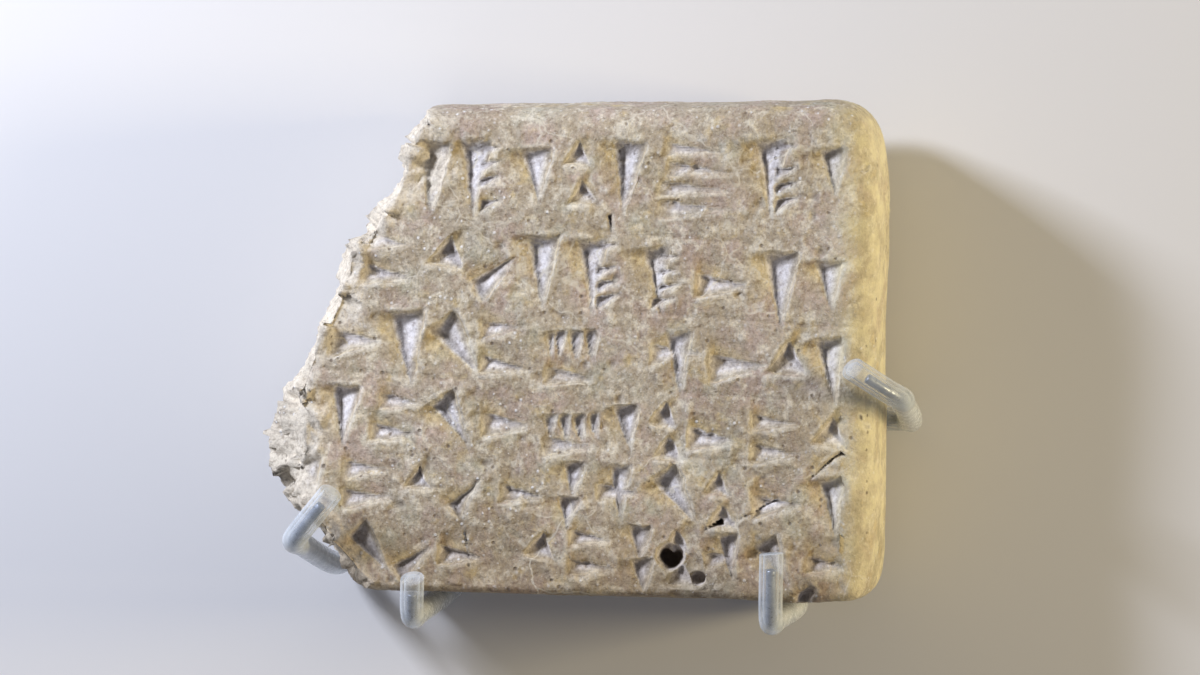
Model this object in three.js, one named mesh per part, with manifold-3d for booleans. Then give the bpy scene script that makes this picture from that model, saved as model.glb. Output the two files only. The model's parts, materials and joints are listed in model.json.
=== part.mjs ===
// A broken tablet of pale clay, lying on its back in the wire cradle that grips it by its edges.
// Millimetres, +Z up. The written face looks up, its first row is towards +Y, and the cradle
// stands on z = 0. Plan positions are measured from a point near the middle of the face; at the
// end the whole part is shifted so that the origin lies under the middle of its box.

import * as THREE from 'three';
import { ConvexGeometry } from 'three/addons/geometries/ConvexGeometry.js';
import { mergeVertices } from 'three/addons/utils/BufferGeometryUtils.js';
import Module from 'manifold-3d';

const wasm = await Module();
wasm.setup();

// ---------- driving dimensions ----------

// Clay
const THICKNESS = 18; // back to face, at the middle
const BACK_CROWN = 0.3; // how far the back rises towards its edges
const SIDE_BULGE = 0.4; // how far a made side swells half way up
const RIM = { top: 2.4, right: 3.2, bottom: 1.0 }; // rounding between face and side
const BACK_RIM = 4; // rounding between back and side
const BREAK_DROP = 4.5; // height of the slope where the face breaks off
const BREAK_WIDTH = 1.3; // width of that slope in plan
const BREAK_LEAN = 0.3; // how far the broken side leans in below the slope
const BREAK_BACK_RIM = 0.8; // wear of the broken edge at the back
const SPALL = { y: -10.5, reach: 4.6, width: 3.6 }; // where more of the face has flaked away
const ROUGHNESS = 0.45; // how far the broken side strays from its outline

// Cradle
const WIRE_RADIUS = 0.5;
const SLEEVE_RADIUS = 1.2;
const SLEEVE_BORE = 0.8; // radius of the hole
const GAP = 0.3; // between pieces that touch
const WIRE_SHORT = 1.7; // how far the wire's end stands back inside its sleeve
const SLEEVE_UNDER = 7; // how far a sleeve runs on under the tablet
const SLEEVE_STEPS = 19; // along each sleeve
const PAD = { x: 1, y: -9, radius: 4 }; // where the four wires are brazed together

const WIRE_AXIS = SLEEVE_RADIUS; // height of the wires under the tablet
const BACK = 2 * SLEEVE_RADIUS + GAP; // height of the tablet's back
const FACE = BACK + THICKNESS; // height of its face, at the middle

// The outline, anticlockwise: x, y, and how far the corner's rounding reaches along each side.
const MADE_CORNERS = [
  [-22.3, -24.6, 1.2],
  [28.9, -25.1, 2.3],
  [29.6, -16, 5],
  [29.3, 0, 8],
  [29.9, 17.5, 3.5],
  [28.2, 24.6, 3.6],
  [-16.4, 24.0, 1.3],
];
const BROKEN_CORNERS = [
  [-18.0, 20.5, 1.4],
  [-19.5, 16.2, 0.8],
  [-21.1, 13.6, 0.8],
  [-24.4, 9.9, 1.0],
  [-25.6, 5.2, 1.2],
  [-29.0, -1.6, 1.2],
  [-31.3, -5.2, 1.4],
  [-33.0, -9.4, 1.6],
  [-32.3, -12.8, 1.2],
  [-29.5, -16.7, 1.2],
  [-25.3, -21.3, 0.8],
];
const CENTRE = new THREE.Vector2(2, -1);

// ---------- strokes ----------

// Kinds of mark that fill the rows. They are plain wedge strokes and spell nothing. Each kind has
// its width, then its strokes: x and y of the head from the kind's top left, the way it runs
// (0 is to the right, -90 is down), its length, the width of its head, and its depth.
const KINDS = {
  tall: [4.6, [2.2, 0, -90, 8.4, 4.0, 1.5]],
  short: [3.8, [1.8, -0.5, -90, 5.6, 3.4, 1.25]],
  pair: [3.6, [1.7, 0, -90, 4.6, 3.2, 1.1], [1.9, -4.2, -90, 4.6, 3.0, 1.1]],
  level: [6.4, [0.2, -4.0, 0, 6.8, 3.0, 1.15]],
  two: [6.8, [0.4, -1.8, 0, 6.2, 2.5, 0.95], [0.1, -5.4, 0, 6.8, 2.7, 1.0]],
  levels: [9.2, ...[0, 1, 2, 3].map((i) => [0.2, -1.0 - 2.05 * i, 1, 9.0, 1.9, 0.75])],
  corner: [4.0, [0.8, -2.2, -38, 4.0, 4.2, 1.3]],
  corners: [4.0, [0.8, -1.0, -38, 3.4, 3.5, 1.1], [1.1, -5.0, -34, 3.5, 3.6, 1.1]],
  slant: [4.6, [1.0, -0.8, -58, 7.6, 3.8, 1.4]],
  rise: [4.8, [0.6, -6.6, 44, 6.6, 3.0, 1.15]],
  cross: [6.0, [0.2, -3.6, 0, 6.0, 2.4, 1.0], [3.2, -0.3, -90, 7.0, 2.9, 1.2]],
  ladder: [5.4, [2.0, 0, -90, 8.6, 3.8, 1.45],
    ...[0, 1, 2, 3].map((i) => [1.9, -1.6 - 1.6 * i, 16, 3.0, 1.4, 1.15])],
  comb: [7.0, [0.1, -6.2, 0, 7.0, 2.2, 0.9],
    ...[0, 1, 2, 3].map((i) => [1.1 + 1.6 * i, -1.6, -90, 4.0, 1.6, 0.75])],
  blank: [4.5],
};

// The rows: height of the top of the row at its left end, how far it falls towards the right,
// the size of its strokes, and the marks from left to right.
const ROWS = [
  [21.0, 0, 1.0, 'tall ladder short corners tall levels ladder short'],
  [12.6, 3.6, 0.95, 'two corner rise tall ladder ladder level tall short'],
  [4.6, 3.2, 0.95, 'level tall slant two comb blank cross level corner tall'],
  [-3.4, 2.9, 0.88, 'corner tall two slant level comb short corners level two corner'],
  [-10.4, 2.0, 0.84, 'tall two corner rise level pair cross slant corners level tall'],
  [-17.4, 0.8, 0.82, 'slant rise level blank corner two pair corners cross slant level'],
];
const ROW_START = 2.0; // from the broken outline to the first mark
const ROW_END = 27.2; // where the last mark stops
const SCATTER = { place: 0.8, turn: 12, size: 0.2 }; // how unevenly the hand worked

// Cracks and slots, as strokes, and holes: x, y, radius, depth.
const CRACKS = [
  [28.6, -6.0, -112, 4.0, 0.45, 1.0],
  [27.2, -9.4, -141, 9.0, 0.4, 1.0],
  [20.4, -14.6, -152, 9.0, 0.35, 0.9],
  [14.6, -17.2, -160, 2.6, 0.9, 1.6],
  [-11.6, -18.2, -86, 4.6, 0.35, 0.9],
  [3.1, 13.6, -84, 2.6, 0.5, 0.9],
];
const HOLES = [
  [8.9, -20.9, 1.5, 2.6],
  [11.8, -22.9, 0.6, 1.4],
  [28.4, 18.2, 0.5, 1.3],
  [28.8, -7.6, 0.55, 1.5],
  [22.6, -25.0, 1.5, 1.6],
];

// ---------- small tools ----------

const fraction = (value) => value - Math.floor(value);
const uneven = (n) => 2 * fraction(n * 0.618034 + 0.37) - 1; // the same row of values each time
const smoothstep = THREE.MathUtils.smoothstep;
const lerp = THREE.MathUtils.lerp;

// A closed mesh as a solid that can be joined and cut.
function solidOf(geometry) {
  const plain = geometry.clone();
  plain.deleteAttribute('normal');
  plain.deleteAttribute('uv');
  const merged = mergeVertices(plain, 1e-4);
  return new wasm.Manifold(new wasm.Mesh({
    numProp: 3,
    vertProperties: new Float32Array(merged.attributes.position.array),
    triVerts: new Uint32Array(merged.index.array),
  }));
}

function geometryOf(solid) {
  const { vertProperties, triVerts } = solid.getMesh();
  const geometry = new THREE.BufferGeometry();
  geometry.setAttribute('position', new THREE.BufferAttribute(vertProperties, 3));
  geometry.setIndex(new THREE.BufferAttribute(triVerts, 1));
  return geometry;
}

// ---------- the tablet ----------

// The outline as evenly spaced points, corners rounded by curves.
function outlinePoints(count) {
  const corners = [...MADE_CORNERS, ...BROKEN_CORNERS];
  const path = new THREE.Path();
  corners.forEach(([x, y, reach], i) => {
    const corner = new THREE.Vector2(x, y);
    const [before, after] = [corners.at(i - 1), corners[(i + 1) % corners.length]];
    const enter = new THREE.Vector2(before[0] - x, before[1] - y).setLength(reach).add(corner);
    const leave = new THREE.Vector2(after[0] - x, after[1] - y).setLength(reach).add(corner);
    if (i === 0) path.moveTo(enter.x, enter.y);
    else path.lineTo(enter.x, enter.y);
    path.quadraticCurveTo(x, y, leave.x, leave.y);
  });
  path.closePath();
  return path.getSpacedPoints(count).slice(0, count);
}

function backHeight(x, y) {
  return BACK + BACK_CROWN * ((x / 31) ** 2 + (y / 25) ** 2) / 2;
}

// What the edge is like at one point of the outline: how far it is broken (0 to 1), and how wide
// and deep the rounding or the slope from the face is.
function edgeAt(point, normal) {
  const broken = smoothstep(-normal.x, 0.3, 0.6);
  const rounding = Math.max(0, normal.x) ** 2 * RIM.right + Math.max(0, normal.y) ** 2 * RIM.top
    + Math.max(0, -normal.y) ** 2 * RIM.bottom;
  const spall = SPALL.width * Math.exp(-(((point.y - SPALL.y) / SPALL.reach) ** 2));
  return {
    broken,
    width: lerp(rounding, BREAK_WIDTH + spall, broken),
    drop: lerp(rounding * 1.1, BREAK_DROP, broken),
    backWidth: lerp(BACK_RIM, BREAK_BACK_RIM, broken),
    backRise: lerp(BACK_RIM, BREAK_BACK_RIM, broken),
  };
}

// Rings of points from the middle of the back, round the edge, to the middle of the face.
function tabletBody() {
  const count = 128;
  const quarter = [[1, 0], [0.45, 0.12], [0.12, 0.45], [0, 1]]; // a rounded edge, inwards and down
  const slope = [[1, 0], [0.7, 0.35], [0.3, 0.6], [0, 1]]; // a broken one
  const inwards = [0.55]; // rings across the face, as parts of the way out
  const points = outlinePoints(count);
  const rings = Array.from({ length: 1 + 4 + 1 + 4 + inwards.length }, () => []);

  points.forEach((point, i) => {
    const along = points[(i + 1) % count].clone().sub(points.at(i - 1)).normalize();
    const normal = new THREE.Vector2(along.y, -along.x);
    const edge = edgeAt(point, normal);
    const way = CENTRE.clone().sub(point).normalize();
    const stretch = 1 / Math.max(0.6, -way.dot(normal));
    const inset = (distance) => point.clone().addScaledVector(way, distance * stretch);
    const rough = (level) => ROUGHNESS * edge.broken * uneven(7 * i + 31 * level);
    const mix = (level) => [0, 1].map((k) => lerp(quarter[level][k], slope[level][k], edge.broken));

    const backRim = inset(edge.backWidth);
    const faceRim = inset(edge.width);
    let next = 0;
    const put = (plan, height) => rings[next++].push([plan.x, plan.y, height]);
    for (const part of [0.6]) {
      const plan = CENTRE.clone().lerp(backRim, part);
      put(plan, backHeight(plan.x, plan.y));
    }
    for (const level of [0, 1, 2, 3]) {
      const [across, up] = mix(level);
      put(inset(edge.backWidth * across + rough(level) / 2),
        backHeight(backRim.x, backRim.y) + edge.backRise * up);
    }
    const middle = (FACE + BACK) / 2;
    put(inset(lerp(-SIDE_BULGE, BREAK_LEAN, edge.broken) + rough(5)), middle + rough(6));
    for (const level of [3, 2, 1, 0]) {
      const [across, down] = mix(level);
      put(inset(edge.width * across + rough(8 + level)),
        FACE - edge.drop * down);
    }
    for (const part of inwards) {
      const plan = CENTRE.clone().lerp(faceRim, part);
      put(plan, FACE);
    }
  });

  const positions = rings.flat(2);
  const backMiddle = rings.length * count;
  positions.push(CENTRE.x, CENTRE.y, BACK, CENTRE.x, CENTRE.y, FACE);
  const faces = [];
  for (let i = 0; i < count; i++) {
    const j = (i + 1) % count;
    const last = (rings.length - 1) * count;
    faces.push(backMiddle, j, i, backMiddle + 1, last + i, last + j);
    for (let ring = 0; ring < rings.length - 1; ring++) {
      const [a, b] = [ring * count + i, ring * count + j];
      faces.push(a, b, b + count, a, b + count, a + count);
    }
  }
  const geometry = new THREE.BufferGeometry();
  geometry.setAttribute('position', new THREE.Float32BufferAttribute(positions, 3));
  geometry.setIndex(faces);
  return solidOf(geometry);
}

// One wedge stroke as a solid to cut away: a pyramid standing on its point, whose steep walls are
// on the side of the head and on the upper left, and which opens out above the surface.
function wedge(x, y, turn, length, head, depth) {
  const angle = THREE.MathUtils.degToRad(turn);
  const along = new THREE.Vector2(Math.cos(angle), Math.sin(angle));
  const across = new THREE.Vector2(-along.y, along.x);
  if (across.y < across.x) across.negate(); // towards the upper left
  const start = new THREE.Vector2(x, y);
  const deepest = start.clone().addScaledVector(along, 0.2 * length)
    .addScaledVector(across, 0.22 * head);
  const point = new THREE.Vector3(deepest.x, deepest.y, FACE - depth);
  const above = 1 + 0.7 / depth; // the pyramid goes on upwards until it is 0.7 over the face
  const corners = [
    start.clone().addScaledVector(across, head / 2),
    start.clone().addScaledVector(across, -head / 2),
    start.clone().addScaledVector(along, length),
  ].map((corner) => new THREE.Vector3(corner.x, corner.y, FACE).sub(point)
    .multiplyScalar(above).add(point));
  return solidOf(new ConvexGeometry([point, ...corners]));
}

// A hole or chip with ragged walls.
function hole(x, y, radius, depth) {
  const ring = (scale, height) => [0, 1, 2, 3, 4, 5].map((i) => {
    const reach = radius * scale * (1 + 0.25 * uneven(i + x));
    const angle = (i + 0.2 * y) * Math.PI / 3;
    return new THREE.Vector3(x + reach * Math.cos(angle), y + reach * Math.sin(angle), height);
  });
  return solidOf(new ConvexGeometry([...ring(1.2, FACE + 1), ...ring(0.5, FACE - depth)]));
}

// Where the broken outline stands at one height of the face.
function brokenEdge(y) {
  const corners = [MADE_CORNERS.at(-1), ...BROKEN_CORNERS, MADE_CORNERS[0]];
  const below = corners.findIndex((corner) => corner[1] < y);
  const [high, low] = [corners[below - 1], corners[below]];
  return lerp(low[0], high[0], (y - low[1]) / (high[1] - low[1]));
}

// Every stroke of the rows. A row's marks share the space that its strokes leave over.
function rowStrokes() {
  const strokes = [];
  for (const [top, fall, size, marks] of ROWS) {
    const kinds = marks.split(' ').map((name) => KINDS[name]);
    const start = brokenEdge(top - 4 * size) + ROW_START;
    const widths = kinds.reduce((sum, [width]) => sum + width * size, 0);
    const space = (ROW_END - start - widths) / (kinds.length - 1);
    let left = start;
    for (const [width, ...parts] of kinds) {
      for (const [x, y, turn, length, head, depth] of parts) {
        const n = 5 * strokes.length;
        const scale = size * (1 + SCATTER.size * uneven(n) / 2);
        strokes.push([
          left + size * x + SCATTER.place * uneven(n + 1) / 2,
          top - fall * (left - start) / (ROW_END - start) + size * y
            + SCATTER.place * uneven(n + 2) / 2,
          turn + SCATTER.turn * uneven(n + 3) / 2,
          length * scale,
          head * scale,
          depth * (1 + SCATTER.size * uneven(n + 4) / 2),
        ]);
      }
      left += width * size + space;
    }
  }
  return strokes;
}

function tablet() {
  let solid = tabletBody();
  for (const stroke of [...rowStrokes(), ...CRACKS]) solid = solid.subtract(wedge(...stroke));
  for (const place of HOLES) solid = solid.subtract(hole(...place));
  return solid;
}

// ---------- the cradle ----------

// The hooks: where the wire comes out from under the tablet (foot), where it turns over the face
// (shoulder), where its tip ends, and how far the tip stands up from the face.
const HOOKS = {
  right: { foot: [31.9, -7.9], shoulder: [32.3, -4.6], tip: [27.7, -1.5], rise: 3.0 },
  lower_right: { foot: [20.2, -27.0], shoulder: [19.4, -27.1], tip: [19.7, -19.9], rise: 3.2 },
  lower_left: { foot: [-17.1, -26.9], shoulder: [-16.9, -27.0], tip: [-16.5, -22.9], rise: 2.8 },
  left: { foot: [-27.9, -23.4], shoulder: [-29.1, -19.5], tip: [-24.7, -14.4], rise: 3.2 },
};

// A hook's middle line, from the braze to the tip.
function hookLine({ foot, shoulder, tip, rise }) {
  const pad = new THREE.Vector2(PAD.x, PAD.y);
  const [footAt, shoulderAt, tipAt] = [foot, shoulder, tip].map((p) => new THREE.Vector2(...p));
  const home = pad.clone().sub(footAt);
  const out = tipAt.clone().sub(shoulderAt).normalize();
  const at = (plan, height) => new THREE.Vector3(plan.x, plan.y, height);
  const under = (distance) => footAt.clone().addScaledVector(home.clone().normalize(), distance);
  return new THREE.CatmullRomCurve3([
    at(pad, WIRE_AXIS),
    at(under(0.5 * home.length()), WIRE_AXIS),
    at(under(6), WIRE_AXIS),
    at(under(2.7), WIRE_AXIS),
    at(under(2.1), WIRE_AXIS),
    at(under(0.6), WIRE_AXIS + 0.8),
    at(footAt, WIRE_AXIS + 2.8),
    at(shoulderAt.clone().lerp(footAt, 0.15), FACE - 2.5),
    at(shoulderAt, FACE + 0.2),
    at(shoulderAt.clone().addScaledVector(out, 1.3), FACE + 1.6),
    at(tipAt, FACE + rise),
  ], false, 'centripetal');
}

// A stretch of a line as a curve of its own. Stops are distances along the line with the number
// of equal steps up to each, so that straight stretches can have few and bends many.
function routeAlong(line, stops) {
  const whole = line.getLength();
  const distances = [stops[0][0]];
  stops.slice(1).forEach(([distance, steps], i) => {
    for (let k = 1; k <= steps; k++) distances.push(lerp(stops[i][0], distance, k / steps));
  });
  const steps = distances.length - 1;
  const route = new THREE.Curve();
  route.getUtoTmapping = (u) => u;
  route.getPoint = (t, target = new THREE.Vector3()) => {
    const k = Math.min(Math.floor(t * steps), steps - 1);
    const distance = lerp(distances[k], distances[k + 1], t * steps - k);
    return line.getPointAt(THREE.MathUtils.clamp(distance / whole, 0, 1), target);
  };
  return { route, steps };
}

function disc(radius, holeRadius) {
  const shape = new THREE.Shape().absarc(0, 0, radius, 0, 2 * Math.PI);
  if (holeRadius) shape.holes.push(new THREE.Path().absarc(0, 0, holeRadius, 0, 2 * Math.PI, true));
  return shape;
}

// How far along a hook's line its sleeve begins.
function sleeveStart({ foot }) {
  return Math.hypot(foot[0] - PAD.x, foot[1] - PAD.y) - SLEEVE_UNDER;
}

function wire(hook) {
  const line = hookLine(hook);
  const end = line.getLength() - WIRE_SHORT;
  const { route, steps } = routeAlong(line, [[0], [sleeveStart(hook), 3], [end, SLEEVE_STEPS - 1]]);
  return solidOf(new THREE.ExtrudeGeometry(disc(WIRE_RADIUS),
    { extrudePath: route, steps, curveSegments: 3 }));
}

function sleeve(hook) {
  const line = hookLine(hook);
  const stops = [[sleeveStart(hook)], [line.getLength(), SLEEVE_STEPS]];
  const { route, steps } = routeAlong(line, stops);
  return new THREE.ExtrudeGeometry(disc(SLEEVE_RADIUS, SLEEVE_BORE),
    { extrudePath: route, steps, curveSegments: 4 });
}

// The four wires, brought together in a small flat of braze that stands on the floor.
function cradleFrame() {
  const height = WIRE_AXIS + WIRE_RADIUS;
  const pad = new THREE.CylinderGeometry(PAD.radius * 0.8, PAD.radius, height, 24)
    .rotateX(Math.PI / 2).translate(PAD.x, PAD.y, height / 2);
  return Object.values(HOOKS).reduce(
    (solid, hook) => solid.add(wire(hook)), solidOf(pad));
}

// ---------- the part ----------

const clay = new THREE.MeshStandardMaterial({ color: 0xb09c80, roughness: 0.95, metalness: 0 });
const steel = new THREE.MeshStandardMaterial({ color: 0x5c6068, roughness: 0.45, metalness: 0.9 });
const clearTube = new THREE.MeshStandardMaterial({
  color: 0xdfe6ea, roughness: 0.15, metalness: 0, transparent: true, opacity: 0.4,
});

const part = new THREE.Group();

function addMesh(name, geometry, material) {
  const mesh = new THREE.Mesh(geometry, material);
  mesh.name = name;
  part.add(mesh);
}

addMesh('tablet', geometryOf(tablet()), clay);
addMesh('cradle_frame', geometryOf(cradleFrame()), steel);
for (const [name, hook] of Object.entries(HOOKS)) {
  addMesh(`sleeve_${name}`, sleeve(hook), clearTube);
}

// The origin goes under the middle of the whole part.
const box = new THREE.Box3().setFromObject(part, true);
const middle = box.getCenter(new THREE.Vector3());
part.position.set(-middle.x, -middle.y, 0);

export default part;
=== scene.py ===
import itertools
import json
import math

import bmesh
import bpy
import numpy as np
from mathutils import Matrix, Vector, kdtree


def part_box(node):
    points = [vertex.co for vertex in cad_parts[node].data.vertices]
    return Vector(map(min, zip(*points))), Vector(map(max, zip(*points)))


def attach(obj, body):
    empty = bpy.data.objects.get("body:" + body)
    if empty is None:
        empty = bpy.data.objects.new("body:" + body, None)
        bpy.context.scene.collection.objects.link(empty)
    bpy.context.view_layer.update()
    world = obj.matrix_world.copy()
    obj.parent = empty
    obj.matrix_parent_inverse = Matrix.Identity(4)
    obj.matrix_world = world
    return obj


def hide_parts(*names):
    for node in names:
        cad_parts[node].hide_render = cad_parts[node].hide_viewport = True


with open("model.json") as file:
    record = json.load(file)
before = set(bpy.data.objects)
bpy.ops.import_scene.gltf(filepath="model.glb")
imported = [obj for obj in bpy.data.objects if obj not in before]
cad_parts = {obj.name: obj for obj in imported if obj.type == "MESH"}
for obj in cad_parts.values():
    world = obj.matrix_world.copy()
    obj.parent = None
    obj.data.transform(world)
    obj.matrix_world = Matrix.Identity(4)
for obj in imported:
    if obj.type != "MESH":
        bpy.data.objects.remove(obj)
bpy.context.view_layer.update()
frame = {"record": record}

# The viewpoint
# The tablet lies on its back, so the camera looks down on it, from a little to its right and a
# little past its top edge, through a long lens that keeps its edges straight.

MM = 0.001
pad_place = Vector(frame["record"]["mounts"][0]["pos_m"])
plan_zero = pad_place - Vector((1.0, -9.0, 0)) * MM  # the point that plan positions start from
face_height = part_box("tablet")[1][2] / MM  # height of the written face, at its middle
back_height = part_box("tablet")[0][2] / MM

view_middle = plan_zero + Vector((2.1, 1.25, face_height)) * MM
view_distance = 0.5
lean_right, lean_up = math.radians(8), math.radians(3)
towards_camera = Vector((
    math.sin(lean_right) * math.cos(lean_up),
    math.sin(lean_up),
    math.cos(lean_right) * math.cos(lean_up)))

camera = bpy.data.objects.new("camera", bpy.data.cameras.new("camera"))
bpy.context.collection.objects.link(camera)
camera.data.sensor_width = 36
camera.data.lens = 36 * view_distance / (120 * MM)  # a field 120 mm wide at the face
camera.data.clip_start = 0.01
camera.location = view_middle + view_distance * towards_camera
right = Vector((0, 1, 0)).cross(towards_camera).normalized()
up = towards_camera.cross(right)
camera.rotation_euler = Matrix((right, up, towards_camera)).transposed().to_euler()
bpy.context.scene.camera = camera

# The clay: its outline and section
# A cushion of fine clay, flattened by hand and dried in the sun, with rounded edges. Its left part
# is lost: the whole left side is a rough break, and some of the face has flaked off beside it.

FACE_CROWN, BACK_CROWN = 0.4, 0.3
SIDE_BULGE = 0.4
RIM = {"top": 2.4, "right": 3.2, "bottom": 1.0}
BACK_RIM = 4.0
BREAK_DROP, BREAK_WIDTH, BREAK_LEAN, BREAK_BACK_RIM = 4.5, 1.3, 0.3, 0.8
SPALL = {"y": -10.5, "reach": 4.6, "width": 3.6}
MIDDLE = np.array((2.0, -1.0))

MADE_CORNERS = [  # x, y, and how far the rounding reaches along each side, anticlockwise
    (-22.3, -24.6, 1.2), (28.9, -25.1, 2.3), (29.6, -16, 5), (29.3, 0, 8), (29.9, 17.5, 3.5),
    (28.2, 24.6, 3.6), (-16.4, 24.0, 1.3)]
BROKEN_CORNERS = [
    (-18.0, 20.5, 1.4), (-19.5, 16.2, 0.8), (-21.1, 13.6, 0.8), (-24.4, 9.9, 1.0),
    (-25.6, 5.2, 1.2), (-29.0, -1.6, 1.2), (-31.3, -5.2, 1.4), (-33.0, -9.4, 1.6),
    (-32.3, -12.8, 1.2), (-29.5, -16.7, 1.2), (-25.3, -21.3, 0.8)]
CORNERS = MADE_CORNERS + BROKEN_CORNERS


def unit(vectors):
    return vectors / np.linalg.norm(vectors, axis=-1, keepdims=True)


def smoothstep(low, high, value):
    t = np.clip((value - low) / (high - low), 0, 1)
    return t * t * (3 - 2 * t)


def rounded_corner(i):
    """The curve round one corner of the outline, as nine points."""
    before, corner, after = (np.array(CORNERS[k % len(CORNERS)][:2]) for k in (i - 1, i, i + 1))
    reach = CORNERS[i][2]
    enter = corner + reach * unit(before - corner)
    leave = corner + reach * unit(after - corner)
    t = np.linspace(0, 1, 9)[:, None]
    return (1 - t) ** 2 * enter + 2 * t * (1 - t) * corner + t * t * leave


def evenly(points, steps):
    """The same line as equal steps along its length, without its last point."""
    length = np.r_[0, np.cumsum(np.linalg.norm(np.diff(points, axis=0), axis=1))]
    wanted = np.linspace(0, length[-1], steps + 1)[:-1]
    return np.column_stack([np.interp(wanted, length, points[:, k]) for k in (0, 1)])


ACROSS, UPWARDS = 264, 212  # steps along the rows and up the face
outline = np.vstack([rounded_corner(i) for i in range(len(CORNERS))])
bottom_left, bottom_right, top_right, top_left = (9 * i + 4 for i in (0, 1, 5, 6))
edge = np.vstack([
    evenly(outline[bottom_left:bottom_right + 1], ACROSS),
    evenly(outline[bottom_right:top_right + 1], UPWARDS),
    evenly(outline[top_right:top_left + 1], ACROSS),
    evenly(np.vstack([outline[top_left:], outline[:bottom_left + 1]]), UPWARDS)])
along = unit(np.roll(edge, -3, axis=0) - np.roll(edge, 3, axis=0))
outwards = np.column_stack([along[:, 1], -along[:, 0]])
inwards = unit(MIDDLE - edge)
inwards = inwards / np.maximum(0.6, -np.sum(inwards * outwards, axis=1))[:, None]

# How far each point of the edge is broken (0 to 1), and the rounding or slope it has.
broken = smoothstep(0.3, 0.6, -outwards[:, 0])
rounding = (np.maximum(0, outwards[:, 0]) ** 2 * RIM["right"]
            + np.maximum(0, outwards[:, 1]) ** 2 * RIM["top"]
            + np.maximum(0, -outwards[:, 1]) ** 2 * RIM["bottom"])
spall = SPALL["width"] * np.exp(-((edge[:, 1] - SPALL["y"]) / SPALL["reach"]) ** 2)
rim_width = rounding + (BREAK_WIDTH + spall - rounding) * broken
rim_drop = 1.1 * rounding + (BREAK_DROP - 1.1 * rounding) * broken
back_rim = BACK_RIM + (BREAK_BACK_RIM - BACK_RIM) * broken


def face_at(plan):
    return face_height - FACE_CROWN * ((plan[..., 0] / 31) ** 2 + (plan[..., 1] / 25) ** 2) / 2


def back_at(plan):
    return back_height + BACK_CROWN * ((plan[..., 0] / 31) ** 2 + (plan[..., 1] / 25) ** 2) / 2


def sheet_between(border):
    """Fills a border of four sides with an even sheet of plan positions, rows from the bottom."""
    south = border[:ACROSS + 1]
    east = border[ACROSS:ACROSS + UPWARDS + 1]
    north = border[ACROSS + UPWARDS:2 * ACROSS + UPWARDS + 1][::-1]
    west = np.vstack([border[2 * ACROSS + UPWARDS:], border[:1]])[::-1]
    u = np.linspace(0, 1, ACROSS + 1)[None, :, None]
    v = np.linspace(0, 1, UPWARDS + 1)[:, None, None]
    return ((1 - v) * south[None] + v * north[None] + (1 - u) * west[:, None] + u * east[:, None]
            - (1 - u) * (1 - v) * south[0] - u * (1 - v) * south[-1]
            - (1 - u) * v * north[0] - u * v * north[-1])


face_rim = edge + inwards * rim_width[:, None]
under_rim = edge + inwards * back_rim[:, None]
face_plan = sheet_between(face_rim)
back_plan = sheet_between(MIDDLE + 0.975 * (under_rim - MIDDLE))

# Rings round the edge, from the face to the back.
FACE_LEVELS, SIDE_LEVELS, BACK_LEVELS = 9, 17, 6
LEVELS = FACE_LEVELS + SIDE_LEVELS + BACK_LEVELS
rings = []
for level in range(LEVELS + 1):
    top = face_at(face_rim)
    bottom = back_at(under_rim)
    if level <= FACE_LEVELS:
        turn = math.pi / 2 * level / FACE_LEVELS
        slope = level / FACE_LEVELS
        in_part = (1 - math.sin(turn)) * (1 - broken) + (1 - slope) * broken
        down_part = (1 - math.cos(turn)) * (1 - broken) + slope * broken
        inset, height = rim_width * in_part, top - rim_drop * down_part
    elif level <= FACE_LEVELS + SIDE_LEVELS:
        t = (level - FACE_LEVELS) / SIDE_LEVELS
        swell = math.sin(math.pi * t)
        inset = (-SIDE_BULGE * (1 - broken) + BREAK_LEAN * broken) * swell
        height = (top - rim_drop) * (1 - t) + (bottom + back_rim) * t
    else:
        turn = math.pi / 2 * (level - FACE_LEVELS - SIDE_LEVELS) / BACK_LEVELS
        inset = back_rim * (1 - math.cos(turn))
        height = bottom + back_rim * (1 - math.sin(turn))
    rings.append(np.column_stack([edge + inwards * inset[:, None], height]))
rings = np.array(rings)

# The writing
# Wedge strokes pressed into the wet clay with the corner of a cut reed, in six rows. They are
# plain marks that spell nothing. Each kind of mark has its width, then its strokes: x and y of
# the head, the way it runs, its length, the width of its head and its depth.

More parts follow.
